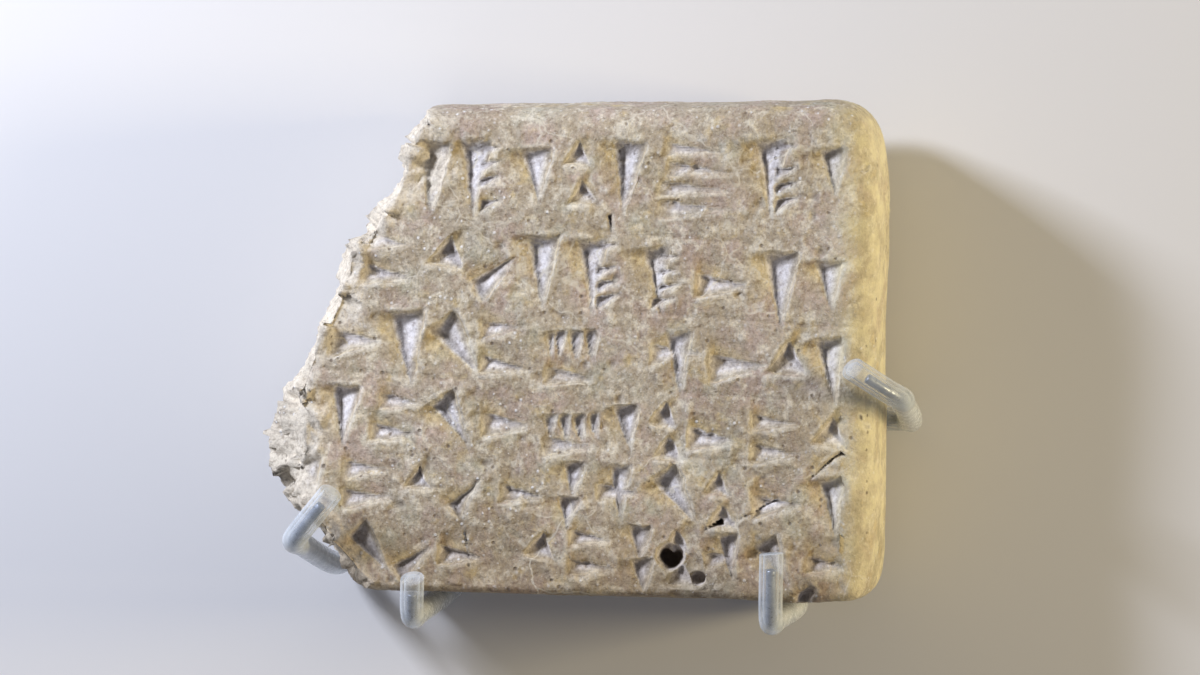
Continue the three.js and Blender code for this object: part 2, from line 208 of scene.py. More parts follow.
KINDS = {
    "tall": (4.6, (2.2, 0, -90, 8.4, 4.0, 1.5)),
    "short": (3.8, (1.8, -0.5, -90, 5.6, 3.4, 1.25)),
    "pair": (3.6, (1.7, 0, -90, 4.6, 3.2, 1.1), (1.9, -4.2, -90, 4.6, 3.0, 1.1)),
    "level": (6.4, (0.2, -4.0, 0, 6.8, 3.0, 1.15)),
    "two": (6.8, (0.4, -1.8, 0, 6.2, 2.5, 0.95), (0.1, -5.4, 0, 6.8, 2.7, 1.0)),
    "levels": (9.2, *((0.2, -1.0 - 2.05 * i, 1, 9.0, 1.9, 0.75) for i in range(4))),
    "corner": (4.0, (0.8, -2.2, -38, 4.0, 4.2, 1.3)),
    "corners": (4.0, (0.8, -1.0, -38, 3.4, 3.5, 1.1), (1.1, -5.0, -34, 3.5, 3.6, 1.1)),
    "slant": (4.6, (1.0, -0.8, -58, 7.6, 3.8, 1.4)),
    "rise": (4.8, (0.6, -6.6, 44, 6.6, 3.0, 1.15)),
    "cross": (6.0, (0.2, -3.6, 0, 6.0, 2.4, 1.0), (3.2, -0.3, -90, 7.0, 2.9, 1.2)),
    "ladder": (5.4, (2.0, 0, -90, 8.6, 3.8, 1.45),
               *((1.9, -1.6 - 1.6 * i, 16, 3.0, 1.4, 1.15) for i in range(4))),
    "comb": (7.0, (0.1, -6.2, 0, 7.0, 2.2, 0.9),
             *((1.1 + 1.6 * i, -1.6, -90, 4.0, 1.6, 0.75) for i in range(4))),
    "blank": (4.5,),
}
ROWS = [  # height of its top, how far it falls to the right, size of its strokes, its marks
    (21.0, 0, 1.0, "tall ladder short corners tall levels ladder short"),
    (12.6, 3.6, 0.95, "two corner rise tall ladder ladder level tall short"),
    (4.6, 3.2, 0.95, "level tall slant two comb blank cross level corner tall"),
    (-3.4, 2.9, 0.88, "corner tall two slant level comb short corners level two corner"),
    (-10.4, 2.0, 0.84, "tall two corner rise level pair cross slant corners level tall"),
    (-17.4, 0.8, 0.82, "slant rise level blank corner two pair corners cross slant level"),
]
ROW_START, ROW_END = 2.0, 27.2
SCATTER = {"place": 0.8, "turn": 12, "size": 0.2}
CRACKS = [
    (28.6, -6.0, -112, 4.0, 0.45, 1.0), (27.2, -9.4, -141, 9.0, 0.4, 1.0),
    (20.4, -14.6, -152, 9.0, 0.35, 0.9), (14.6, -17.2, -160, 2.6, 0.9, 1.6),
    (-11.6, -18.2, -86, 4.6, 0.35, 0.9), (3.1, 13.6, -84, 2.6, 0.5, 0.9)]
HOLES = [  # x, y, radius, depth
    (8.9, -20.9, 1.5, 2.6), (11.8, -22.9, 0.6, 1.4), (28.4, 18.2, 0.5, 1.3),
    (28.8, -7.6, 0.55, 1.5), (22.6, -25.0, 1.5, 1.6)]


def uneven(n):
    """The same row of values from -1 to 1 each time."""
    return 2 * math.modf(n * 0.618034 + 0.37)[0] - 1


def broken_edge(y):
    """Where the broken outline stands at one height of the face."""
    corners = [MADE_CORNERS[-1], *BROKEN_CORNERS, MADE_CORNERS[0]][::-1]
    return np.interp(y, [corner[1] for corner in corners], [corner[0] for corner in corners])


strokes = []
for row_top, fall, size, marks in ROWS:
    kinds = [KINDS[name] for name in marks.split()]
    start = broken_edge(row_top - 4 * size) + ROW_START
    spare = ROW_END - start - sum(kind[0] for kind in kinds) * size
    left = start
    for width, *parts in kinds:
        for x, y, turn, length, head, depth in parts:
            n = 5 * len(strokes)
            scale = size * (1 + SCATTER["size"] * uneven(n) / 2)
            strokes.append((
                left + size * x + SCATTER["place"] * uneven(n + 1) / 2,
                row_top - fall * (left - start) / (ROW_END - start) + size * y
                + SCATTER["place"] * uneven(n + 2) / 2,
                turn + SCATTER["turn"] * uneven(n + 3) / 2,
                length * scale, head * scale,
                depth * (1 + SCATTER["size"] * uneven(n + 4) / 2)))
        left += width * size + spare / (len(kinds) - 1)

lattice = np.random.default_rng(11).random((32, 32, 32))


def grain(points, size, shift=0.0):
    """Smooth uneven values from -1 to 1 that change over about the given size."""
    places = points / size + shift
    cell = np.floor(places).astype(int)
    part = places - cell
    part = part * part * (3 - 2 * part)
    total = 0
    for corner in itertools.product((0, 1), repeat=3):
        weight = np.prod(np.where(corner, part, 1 - part), axis=1)
        total = total + weight * lattice[tuple((cell + corner).T % 32)]
    return 2 * total - 1


def pressed(x, y, stroke):
    """What one stroke does at each place: how deep the reed went, how far the clay on its upper
    left was dragged down after it, and how far it stands up on the other side."""
    head_x, head_y, turn, length, head, depth = stroke
    run = np.array((math.cos(math.radians(turn)), math.sin(math.radians(turn))))
    side = np.array((-run[1], run[0]))
    side = -side if side[1] < side[0] else side  # towards the upper left
    start = np.array((head_x, head_y))
    deepest = start + 0.2 * length * run + 0.22 * head * side
    corners = [start + side * head / 2, start - side * head / 2, start + run * length]
    soft, beyond = 0, []
    for p, q in zip(corners, corners[1:] + corners[:1]):
        (px, py), (qx, qy) = p, q
        here = (qx - px) * (y - py) - (qy - py) * (x - px)
        there = (qx - px) * (deepest[1] - py) - (qy - py) * (deepest[0] - px)
        soft = soft + np.exp(-np.clip(here / there, -4, 4) / 0.06)
        beyond.append(-here / there * abs(there) / np.hypot(qx - px, qy - py))
    deep = depth * 1.07 * np.maximum(0, -0.06 * np.log(soft))
    low_side, high_side = beyond[1:]
    down_run = (x - head_x) * run[0] + (y - head_y) * run[1]
    local = depth * np.clip(1.15 * (1 - down_run / length), 0, 1) * smoothstep(-0.2, 1.0, down_run)
    dragged = 0.50 * local * np.exp(-(np.maximum(high_side, 0) / 1.45) ** 1.5)
    dragged *= smoothstep(0.1, -0.3, low_side)
    pushed = 0.20 * local * np.exp(-(np.maximum(low_side, 0) / 1.1) ** 1.5)
    pushed *= smoothstep(0.2, -0.6, high_side)
    return deep, dragged, pushed


# The clay: its surface
# The face, the sides and the back are one closed skin. The strokes are cut into it, and the clay
# that they pushed aside stands up or sinks beside them. Faint ruled lines, flaws, sand, crumbs
# and wear roughen all of it, and the break is made of small angular facets.

COARSE = 4  # the back has one step for this many of the face
skin = bmesh.new()
bmesh.ops.create_grid(skin, x_segments=ACROSS, y_segments=UPWARDS, size=1)
border = [edge_line for edge_line in skin.edges if edge_line.is_boundary]
for level in range(LEVELS):
    grown = bmesh.ops.extrude_edge_only(skin, edges=border)["geom"]
    fresh = {item for item in grown if isinstance(item, bmesh.types.BMVert)}
    bmesh.ops.translate(skin, verts=list(fresh), vec=(0, 0, -1))
    border = [item for item in grown if isinstance(item, bmesh.types.BMEdge)
              and item.verts[0] in fresh and item.verts[1] in fresh]
back_grid = set(bmesh.ops.create_grid(
    skin, x_segments=ACROSS // COARSE, y_segments=UPWARDS // COARSE, size=1,
    matrix=Matrix.Translation((0, 0, -LEVELS - 1)))["verts"])
border += [line for line in skin.edges if line.is_boundary and line.verts[0] in back_grid]
bmesh.ops.bridge_loops(skin, edges=border)
bmesh.ops.recalc_face_normals(skin, faces=skin.faces)
clay_mesh = bpy.data.meshes.new("clay_tablet")
skin.to_mesh(clay_mesh)
skin.free()

# Each vertex so far says where it belongs: its column, its row and its level.
count = len(clay_mesh.vertices)
address = np.empty(3 * count)
clay_mesh.vertices.foreach_get("co", address)
address = address.reshape(-1, 3)
column = np.rint((address[:, 0] + 1) / 2 * ACROSS).astype(int)
row = np.rint((address[:, 1] + 1) / 2 * UPWARDS).astype(int)
level = np.rint(-address[:, 2]).astype(int)
station = np.select(
    [row == 0, column == ACROSS, row == UPWARDS],
    [column, ACROSS + row, 2 * ACROSS + UPWARDS - column],
    2 * (ACROSS + UPWARDS) - row) % len(edge)
on_face, on_back = level == 0, level == LEVELS + 1
places = np.empty((count, 3))
between = ~(on_face | on_back)
places[between] = rings[level[between], station[between]]
places[on_face, :2] = face_plan[row[on_face], column[on_face]]
places[on_face, 2] = face_at(places[on_face, :2])
places[on_back, :2] = back_plan[row[on_back], column[on_back]]
places[on_back, 2] = back_at(places[on_back, :2])

# The strokes, cracks and holes, all cut down from the level of the face.
near_face = level <= FACE_LEVELS
x, y = places[near_face, 0], places[near_face, 1]
flat = np.column_stack([x, y, np.zeros(len(x))])
wander_x = x + 0.10 * grain(flat, 1.4) + 0.05 * grain(flat, 0.6)
wander_y = y + 0.10 * grain(flat, 1.4, 9.3) + 0.05 * grain(flat, 0.6, 4.1)
cut, drag, lip, fissure = (np.zeros(len(x)) for _ in range(4))
for stroke in strokes + CRACKS:
    near = np.hypot(x - stroke[0], y - stroke[1]) < stroke[3] + stroke[4] + 2.5
    deep, dragged, pushed = pressed(wander_x[near], wander_y[near], stroke)
    if stroke in CRACKS:
        cut[near] += deep
        fissure[near] = np.maximum(fissure[near], deep / 1.3)
    else:
        cut[near] = np.maximum(cut[near], deep)
        drag[near] = np.maximum(drag[near], dragged)
        lip[near] = np.maximum(lip[near], pushed)
for hole_x, hole_y, radius, depth in HOLES:
    away = np.hypot(wander_x - hole_x, wander_y - hole_y)
    ragged = radius * (1 + 0.6 * grain(flat, 1.1, 2.7))
    deep = depth * smoothstep(1.05, 0.45, away / ragged)
    cut = np.maximum(cut, deep)
    fissure = np.maximum(fissure, (deep - 1.1) / 1.2)

RULES = ((22.4, 0.1), (13.6, 3.4), (5.6, 3.0), (-2.4, 2.7), (-9.6, 1.9))
ruled = np.zeros(len(x))
for left_end, fall in RULES:  # where each ruled line starts, and how far it falls
    off_line = wander_y - left_end + fall * (x + 25) / 52 - 0.3 * grain(flat, 17.0, left_end)
    ruled = np.maximum(ruled, 0.13 * np.exp(-(off_line / 0.20) ** 2)
                       * smoothstep(-0.3, 0.5, grain(flat, 9.0, 3.0 + left_end)))

# Where clay was dragged down after the reed, the surface rolls over into the stroke.
on_top = (1 - level[near_face] / FACE_LEVELS) ** 2
drag *= on_top
softness = 0.03 + 0.45 * drag
sunk = softness * np.log(np.exp(drag / softness) + np.exp(cut / softness) - 1)
standing = (lip * (1 - smoothstep(0, 0.25, cut)) - ruled) * on_top
fall_away = face_at(places[near_face, :2]) - places[near_face, 2]
places[near_face, 2] += standing + fall_away - np.maximum(sunk, fall_away + drag)

clay_mesh.vertices.foreach_set("co", places.ravel())
clay_mesh.update()
normals = np.empty(3 * count)
clay_mesh.vertex_normals.foreach_get("vector", normals)
normals = normals.reshape(-1, 3)


def facets(points, size, seed):
    """Small flat faces at odd angles, as in broken clay: how far each point stands out."""
    chance = np.random.default_rng(seed)
    low, high = points.min(axis=0) - size, points.max(axis=0) + size
    seeds = low + chance.random((int(np.prod((high - low) / size)), 3)) * (high - low)
    lean = chance.normal(0, 0.45, seeds.shape)
    stand = chance.normal(0, 0.16 * size, len(seeds))
    tree = kdtree.KDTree(len(seeds))
    for i, seed_place in enumerate(seeds):
        tree.insert(seed_place, i)
    tree.balance()
    nearest = np.array([tree.find(point)[1] for point in points])
    return stand[nearest] + np.sum(lean[nearest] * (points - seeds[nearest]), axis=1)


# Slow swells, then wear, sand and flaws. The break is coarse and angular, the made faces fine.
west_rim = face_rim[2 * ACROSS + UPWARDS:][::-1]
from_break = places[:, 0] - np.interp(places[:, 1], west_rim[:, 1], west_rim[:, 0])
torn = np.where(between, broken[station], 0)
torn[on_face] = smoothstep(
    0.8, -0.8, from_break[on_face] - 1.0 + 1.3 * grain(places[on_face], 2.5, 8.0))
flaked = 1.6 + 3.4 * np.exp(-((places[:, 1] - 17.5) / 2.2) ** 2)
fresh = smoothstep(0.9, -0.9, from_break - flaked + 1.6 * grain(places, 2.5, 8.0))
fresh = np.where(level <= LEVELS, np.maximum(torn, fresh * near_face), 0)
swell = 0.26 * grain(places, 7.0) + 0.08 * grain(places, 3.0) + 0.035 * grain(places, 1.2)
sand = 0.022 * grain(places, 0.55) + 0.016 * grain(places, 0.3)
worn = smoothstep(-0.05, 0.45, grain(places, 6.0, 14.0) + 0.3 * grain(places, 1.5, 1.0))
raise_by = swell + sand * (0.5 + 2.2 * worn)
rough = torn > 0.02
raise_by[rough] += torn[rough] * (
    0.42 * facets(places[rough], 3.2, 3) + 0.28 * facets(places[rough], 1.1, 4))

chance = np.random.default_rng(21)
flaws = np.zeros(count)
for _ in range(520):  # pits where sand fell out, and crumbs that stuck
    flaw_x, flaw_y = chance.uniform(-32, 30), chance.uniform(-25, 25)
    reach = chance.uniform(0.2, 0.5)
    height = reach * chance.choice((-0.5, 0.3), p=(0.35, 0.65))
    window = on_face & (np.abs(places[:, 0] - flaw_x) < 1) & (np.abs(places[:, 1] - flaw_y) < 1)
    away = np.hypot(places[window, 0] - flaw_x, places[window, 1] - flaw_y) / reach
    flaws[window] += height * np.exp(-(away * (1 + 0.6 * grain(places[window], 0.6, 5.5))) ** 3)
raise_by += flaws
places += normals * raise_by[:, None]


def blurred(sheet, reach):
    """The sheet with each value replaced by the mean of the square round it."""
    for _ in (0, 1):
        padded = np.pad(sheet, ((reach + 1, reach), (0, 0)), mode="edge").cumsum(axis=0)
        sheet = ((padded[2 * reach + 1:] - padded[:-2 * reach - 1]) / (2 * reach + 1)).T
    return sheet


# How far each place of the face stands above what is round it.
heights = np.empty((UPWARDS + 1, ACROSS + 1))
heights[row[on_face], column[on_face]] = places[on_face, 2]
relief = np.zeros(count)
for reach, share in ((2, 0.6), (7, 0.4)):
    proud = np.clip((heights - blurred(heights, reach)) / (0.035 * reach), -1, 1)
    relief[on_face] += share * proud[row[on_face], column[on_face]]

face_values = {"cut": cut, "drag": drag, "fissure": fissure}
for name, values in face_values.items():
    whole = np.zeros(count)
    whole[near_face] = values
    face_values[name] = whole
for name, values in {**face_values, "fresh": fresh, "relief": relief, "worn": worn}.items():
    clay_mesh.attributes.new(name, "FLOAT", "POINT").data.foreach_set("value", values)

whole = places * MM + np.array(plan_zero) * (1, 1, 0)
clay_mesh.vertices.foreach_set("co", whole.ravel())
clay_mesh.shade_smooth()
clay_mesh.update()
tablet = bpy.data.objects.new("clay_tablet", clay_mesh)
bpy.context.collection.objects.link(tablet)


def part_of(shader, kind, inputs, output=0, **settings):
    """Adds a node beside a shader and gives one output. Inputs are values or other outputs."""
    node = shader.id_data.nodes.new(kind)
    for name, value in settings.items():
        setattr(node, name, value)
    for name, value in inputs.items():
        if isinstance(value, bpy.types.NodeSocket):
            shader.id_data.links.new(value, node.inputs[name])
        else:
            node.inputs[name].default_value = value
    return node.outputs[output]


def finish_for(piece_mesh, name):
    """A new material on a mesh. Gives its shader and the place on the piece, in metres."""
    material = bpy.data.materials.new(name)
    material.use_nodes = True
    piece_mesh.materials.append(material)
    shader = material.node_tree.nodes["Principled BSDF"]
    return shader, part_of(shader, "ShaderNodeTexCoord", {}, "Object")


def cloud(shader, place, size, seed=0.0, detail=4, roughness=0.6):
    """Uneven values about 0.5 that change over about the given size in millimetres."""
    return part_of(shader, "ShaderNodeTexNoise", {
        "Vector": place, "W": seed, "Scale": 1000 / size, "Detail": detail,
        "Roughness": roughness}, noise_dimensions="4D")


def between_limits(shader, value, low, high, to_low=0.0, to_high=1.0):
    return part_of(shader, "ShaderNodeMapRange", {
        "Value": value, "From Min": low, "From Max": high, "To Min": to_low, "To Max": to_high},
        interpolation_type="SMOOTHSTEP")


def times(shader, first, second):
    return part_of(shader, "ShaderNodeMath", {0: first, 1: second}, operation="MULTIPLY")


def blended(shader, amount, first, second, how="MIX"):
    return part_of(shader, "ShaderNodeMix", {0: amount, 6: first, 7: second}, 2,
                   data_type="RGBA", blend_type=how)


def felt(shader, attribute):
    return part_of(shader, "ShaderNodeAttribute", {}, "Fac", attribute_name=attribute)


def raised(shader, height, depth, strength=1.0, under=None):
    inputs = {"Height": height, "Distance": depth * MM, "Strength": strength}
    if under is not None:
        inputs["Normal"] = under
    return part_of(shader, "ShaderNodeBump", inputs)


CLAY = {
    "brown": (0.425, 0.36, 0.265, 1), "pink": (0.47, 0.375, 0.305, 1),
    "grey": (0.47, 0.44, 0.34, 1), "cream": (0.70, 0.645, 0.52, 1),
    "chalk": (0.71, 0.68, 0.67, 1), "ochre_and_warm_light": (0.58, 0.46, 0.235, 1),
    "straw": (0.84, 0.77, 0.50, 1), "fresh": (0.68, 0.615, 0.50, 1),
    "earth_and_shade": (0.16, 0.12, 0.085, 1), "dark": (0.05, 0.035, 0.025, 1),
    "white": (0.92, 0.91, 0.88, 1)}
BROWN_FROM, BROWNEST_AT = -12.0, -25.0  # where the clay darkens towards the bottom edge
STRAW_FROM, STRAW_FULL_AT = 23.5, 29.0  # where painted warm light turns it straw yellow towards the right edge
shader, place = finish_for(clay_mesh, "sun_dried_clay")
spots = cloud(shader, place, 1.5, 3.0, 6, 0.68)
fine = cloud(shader, place, 0.5, 5.0, 5, 0.75)
regions = cloud(shader, place, 9, 6.0, 3)
colour = blended(shader, between_limits(shader, cloud(shader, place, 5, 1.0, 6), 0.45, 0.62),
                 CLAY["brown"], CLAY["pink"])
colour = blended(shader, between_limits(shader, cloud(shader, place, 4, 2.0, 6), 0.50, 0.68),
                 colour, CLAY["grey"])
colour = blended(shader, between_limits(shader, regions, 0.56, 0.36, 0, 0.45), colour,
                 blended(shader, 1.0, colour, (0.72, 0.68, 0.62, 1), "MULTIPLY"))
colour = blended(shader, between_limits(shader, spots, 0.48, 0.64, 0, 0.85), colour,
                 CLAY["cream"])
stain_and_warm_light_noise = cloud(shader, place, 2.5, 4.0, 6)
colour = blended(shader, between_limits(shader, stain_and_warm_light_noise, 0.55, 0.70, 0, 0.7), colour,
                 CLAY["ochre_and_warm_light"])
# Painted warm light: the clay rolled over on the upper left of each stroke faces the warm side
# lamp, and a yellow-brown tint stands in for that light there.
dragged = between_limits(shader, felt(shader, "drag"), 0.10, 0.5)
colour = blended(shader, times(shader, dragged, between_limits(shader, spots, 0.3, 0.6, 0.1, 0.7)),
                 colour, CLAY["ochre_and_warm_light"])

# Paler, chalky clay in the strokes: cream on their open sides, near white where they are deep.
shallow = between_limits(shader, felt(shader, "cut"), 0.02, 0.25)
shallow = times(shader, shallow, between_limits(shader, spots, 0.35, 0.55, 0.1, 0.8))
colour = blended(shader, shallow, colour, CLAY["cream"])
recess = between_limits(shader, felt(shader, "cut"), 0.12, 0.70)
recess = times(shader, recess, between_limits(shader, regions, 0.32, 0.50, 0.4, 1))
colour = blended(shader, times(shader, recess, between_limits(shader, spots, 0.30, 0.50, 0.4, 1)),
                 colour, CLAY["chalk"])
# Painted highlight: crests that stand above their surroundings are mixed towards cream, except
# where clay was dragged into a stroke.
painted_crest_highlight = times(shader, between_limits(shader, felt(shader, "relief"), 0.2, 0.9, 0, 0.6),
              between_limits(shader, felt(shader, "drag"), 0.30, 0.05))
colour = blended(shader, painted_crest_highlight, colour, CLAY["cream"])
# Painted shade: hollows that sink below their surroundings are darkened towards a dark brown.
colour = blended(shader, between_limits(shader, felt(shader, "relief"), -0.3, -1.0, 0, 0.4),
                 colour, CLAY["earth_and_shade"])
paler = between_limits(shader, spots, 0.3, 0.5, 0.4, 1)
colour = blended(shader, times(shader, felt(shader, "fresh"), paler), colour, CLAY["fresh"])
colour = blended(shader, between_limits(shader, fine, 0.45, 0.68), colour,
                 blended(shader, 1.0, colour, (1.30, 1.30, 1.30, 1), "MULTIPLY"))
colour = blended(shader, between_limits(shader, fine, 0.52, 0.30, 0, 0.8), colour,
                 blended(shader, 1.0, colour, (0.48, 0.42, 0.38, 1), "MULTIPLY"))
up_tablet = part_of(shader, "ShaderNodeSeparateXYZ", {"Vector": place}, "Y")
low_down = between_limits(shader, up_tablet, plan_zero.y + BROWN_FROM * MM,
                          plan_zero.y + BROWNEST_AT * MM, 0, 0.65)
colour = blended(shader, low_down, colour,
                 blended(shader, 1.0, colour, (0.62, 0.55, 0.46, 1), "MULTIPLY"))
across_tablet = part_of(shader, "ShaderNodeSeparateXYZ", {"Vector": place})
# Painted warm light: the right rim, which faces the warm side lamp, is tinted straw yellow in
# patches.
right_rim_warm_light = between_limits(shader, across_tablet, plan_zero.x + STRAW_FROM * MM,
                           plan_zero.x + STRAW_FULL_AT * MM)
colour = blended(
    shader, times(shader, right_rim_warm_light, between_limits(shader, stain_and_warm_light_noise, 0.60, 0.35, 0.35, 0.85)),
    colour, CLAY["straw"])

# Grit: pale grains and dark pores, thick where the face is worn and thin elsewhere, and a few
# hairline scratches.


def specks(size, seed, share, reach):
    """Small round spots, in a share of the cells of a pattern of the given size."""
    inputs = {"Vector": place, "W": seed, "Scale": 1000 / size}
    away = part_of(shader, "ShaderNodeTexVoronoi", inputs, "Distance", voronoi_dimensions="4D")
    pick = part_of(shader, "ShaderNodeTexVoronoi", inputs, "Color", voronoi_dimensions="4D")
    pick = part_of(shader, "ShaderNodeSeparateColor", {"Color": pick})
    return times(shader, between_limits(shader, away, reach, 0.4 * reach),
                 between_limits(shader, pick, 1 - share, 1.02 - share))


rubbed = between_limits(shader, felt(shader, "worn"), 0.0, 1.0, 0.35, 1.0)
grit = cloud(shader, place, 0.24, 7.0, 3, 0.7)
grains = times(shader, specks(0.55, 0.3, 0.30, 0.42), rubbed)
pores = specks(0.75, 0.8, 0.22, 0.34)
colour = blended(shader, between_limits(shader, grit, 0.63, 0.70, 0, 0.6), colour, CLAY["white"])
colour = blended(shader, between_limits(shader, grit, 0.36, 0.29, 0, 0.6), colour, CLAY["earth_and_shade"])
colour = blended(shader, times(shader, grains, 0.8), colour, CLAY["white"])
colour = blended(shader, times(shader, pores, 0.75), colour, CLAY["earth_and_shade"])
wavy = part_of(shader, "ShaderNodeTexNoise", {"Vector": place, "Scale": 250, "Detail": 3}, "Color")
wavy = part_of(shader, "ShaderNodeVectorMath", {0: wavy, 1: (0.004, 0.004, 0.004)},
               operation="MULTIPLY")
wavy = part_of(shader, "ShaderNodeVectorMath", {0: place, 1: wavy}, operation="ADD")
hairline = part_of(shader, "ShaderNodeTexVoronoi", {"Vector": wavy, "Scale": 90},
                   "Distance", feature="DISTANCE_TO_EDGE")
hairline = times(shader, between_limits(shader, hairline, 0.012, 0.004),
                 between_limits(shader, regions, 0.50, 0.56))
colour = blended(shader, times(shader, hairline, 0.6), colour, CLAY["cream"])
# Painted shade: cracks and deep holes are darkened according to their depth.
colour = blended(shader, between_limits(shader, felt(shader, "fissure"), 0.15, 0.7), colour,
                 CLAY["dark"])
shader.id_data.links.new(colour, shader.inputs["Base Color"])
shader.id_data.links.new(between_limits(shader, spots, 0.3, 0.7, 0.80, 0.96),
                         shader.inputs["Roughness"])
bumps = raised(shader, cloud(shader, place, 0.9, 11.0, 4), 0.30, 0.9)
bumps = raised(shader, times(shader, fine, rubbed), 0.20, 1.0, bumps)
bumps = raised(shader, grains, 0.07, 1.0, bumps)
bumps = raised(shader, pores, -0.08, 1.0, bumps)
bumps = raised(shader, grit, 0.05, 1.0, bumps)
shader.id_data.links.new(bumps, shader.inputs["Normal"])

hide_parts("tablet")
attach(tablet, "root")

# The wires of the cradle
# Four lengths of drawn steel wire, 1 mm thick, brazed together behind the tablet in a flat pad.
# Each runs out under the tablet, turns up round its edge and ends just over the face.

WIRE_RADIUS, SLEEVE_RADIUS, SLEEVE_BORE = 0.5, 1.2, 0.8
WIRE_SHORT = 1.7  # how far the wire's end stands back inside its sleeve
SLEEVE_UNDER = 7  # how far a sleeve runs on under the tablet
PAD = {"place": np.array((1.0, -9.0)), "radius": 4.0}
HOOKS = {  # foot, shoulder and tip in plan, and how far the tip stands up from the face
    "right": ((31.9, -7.9), (32.3, -4.6), (27.7, -1.5), 3.0),
    "lower_right": ((20.2, -27.0), (19.4, -27.1), (19.7, -19.9), 3.2),
    "lower_left": ((-17.1, -26.9), (-16.9, -27.0), (-16.5, -22.9), 2.8),
    "left": ((-27.9, -23.4), (-29.1, -19.5), (-24.7, -14.4), 3.2),
}


def hook_line(foot, shoulder, tip, rise):
    """The middle line of one hook, from the braze to its tip, as close points."""
    foot, shoulder, tip = (np.array(place) for place in (foot, shoulder, tip))
    home, out = PAD["place"] - foot, unit(tip - shoulder)
    axis = SLEEVE_RADIUS
    guides = [(PAD["place"], axis), (foot + 0.5 * home, axis)]
    guides += [(foot + distance * unit(home), axis) for distance in (6, 2.7, 2.1)]
    guides += [
        (foot + 0.6 * unit(home), axis + 0.8), (foot, axis + 2.8),
        (shoulder + 0.15 * (foot - shoulder), face_height - 2.5), (shoulder, face_height + 0.2),
        (shoulder + 1.3 * out, face_height + 1.6), (tip, face_height + rise)]
    guides = [np.array((*plan, height)) for plan, height in guides]
    guides = [2 * guides[0] - guides[1], *guides, 2 * guides[-1] - guides[-2]]
    line = []
    for before, start, end, after in zip(guides, guides[1:], guides[2:], guides[3:]):
        first, middle, last = (math.sqrt(np.linalg.norm(b - a)) for a, b in (
            (before, start), (start, end), (end, after)))
        leave = middle * ((start - before) / first - (end - before) / (first + middle)
                          + (end - start) / middle)
        arrive = middle * ((end - start) / middle - (after - start) / (middle + last)
                           + (after - end) / last)
        t = np.linspace(0, 1, 60, endpoint=False)[:, None]
        line.append(start + leave * t + (3 * (end - start) - 2 * leave - arrive) * t ** 2
                    + (2 * (start - end) + leave + arrive) * t ** 3)
    return np.vstack([*line, guides[-2]])


def stretch_of(line, begin, end, step):
    """A stretch of a line, between two distances along it, as points about a step apart."""
    length = np.r_[0, np.cumsum(np.linalg.norm(np.diff(line, axis=0), axis=1))]
    end = length[-1] + end if end <= 0 else end
    wanted = np.linspace(begin, end, round((end - begin) / step) + 1)
    return np.column_stack([np.interp(wanted, length, line[:, k]) for k in range(3)])


def frames_along(line, slant=0.0):
    """A turned place for each point of a line. The last few lean over, for a slanting cut."""
    across = Vector((0.2, 0.3, 1.0))
    frames = []
    for i, (place, way) in enumerate(zip(line, unit(np.gradient(line, axis=0)))):
        way = Vector(way)
        across = (across - across.dot(way) * way).normalized()
        lean = Matrix.Identity(4)
        lean[2][0] = slant * max(0, 1 - (len(line) - 1 - i) / 7)
        turn = Matrix((across, way.cross(across), way)).transposed().to_4x4()
        frames.append(Matrix.Translation(place) @ turn @ lean)
    return frames


def swept(shape, frames, radius, sides):
    """A round wall along a row of frames, each ring extruded from the last. Gives its ends."""
    ring = bmesh.ops.create_circle(shape, segments=sides, radius=radius, matrix=frames[0])["verts"]
    first = last = list({line for vert in ring for line in vert.link_edges})
    for here, there in zip(frames, frames[1:]):
        grown = bmesh.ops.extrude_edge_only(shape, edges=last)["geom"]
        fresh = [item for item in grown if isinstance(item, bmesh.types.BMVert)]
        bmesh.ops.transform(shape, matrix=there @ here.inverted(), verts=fresh)
        last = [item for item in grown if isinstance(item, bmesh.types.BMEdge)
                and item.verts[0] in fresh and item.verts[1] in fresh]
    return first, last


def new_piece(shape, name):
    """Puts a shape made in millimetres in its place, as an object."""
    bmesh.ops.recalc_face_normals(shape, faces=shape.faces)
    bmesh.ops.transform(shape, verts=shape.verts, matrix=Matrix.Translation(
        (plan_zero.x, plan_zero.y, 0)) @ Matrix.Scale(MM, 4))
    mesh = bpy.data.meshes.new(name)
    shape.to_mesh(mesh)
    shape.free()
    mesh.shade_smooth()
    piece = bpy.data.objects.new(name, mesh)
    bpy.context.collection.objects.link(piece)
    return piece


shape = bmesh.new()
for hook in HOOKS.values():
    wire = frames_along(stretch_of(hook_line(*hook), 0, -WIRE_SHORT, 0.4))
    for end in swept(shape, wire, WIRE_RADIUS, 20):
        bmesh.ops.edgeloop_fill(shape, edges=end)
        bmesh.ops.bevel(shape, geom=end, offset=0.12, segments=2, profile=0.5,
                        affect="EDGES", material=-1)
pad_height = SLEEVE_RADIUS + WIRE_RADIUS
pad = bmesh.ops.create_cone(
    shape, cap_ends=True, segments=48, radius1=PAD["radius"], radius2=0.8 * PAD["radius"],
    depth=pad_height, matrix=Matrix.Translation((*PAD["place"], pad_height / 2)))["verts"]
pad_rims = [line for line in {line for vert in pad for line in vert.link_edges}
            if abs(line.verts[0].co.z - line.verts[1].co.z) < 1e-6]
bmesh.ops.bevel(shape, geom=pad_rims, offset=0.45, segments=4, profile=0.5, affect="EDGES",
                material=-1)
wires = new_piece(shape, "cradle_wires")

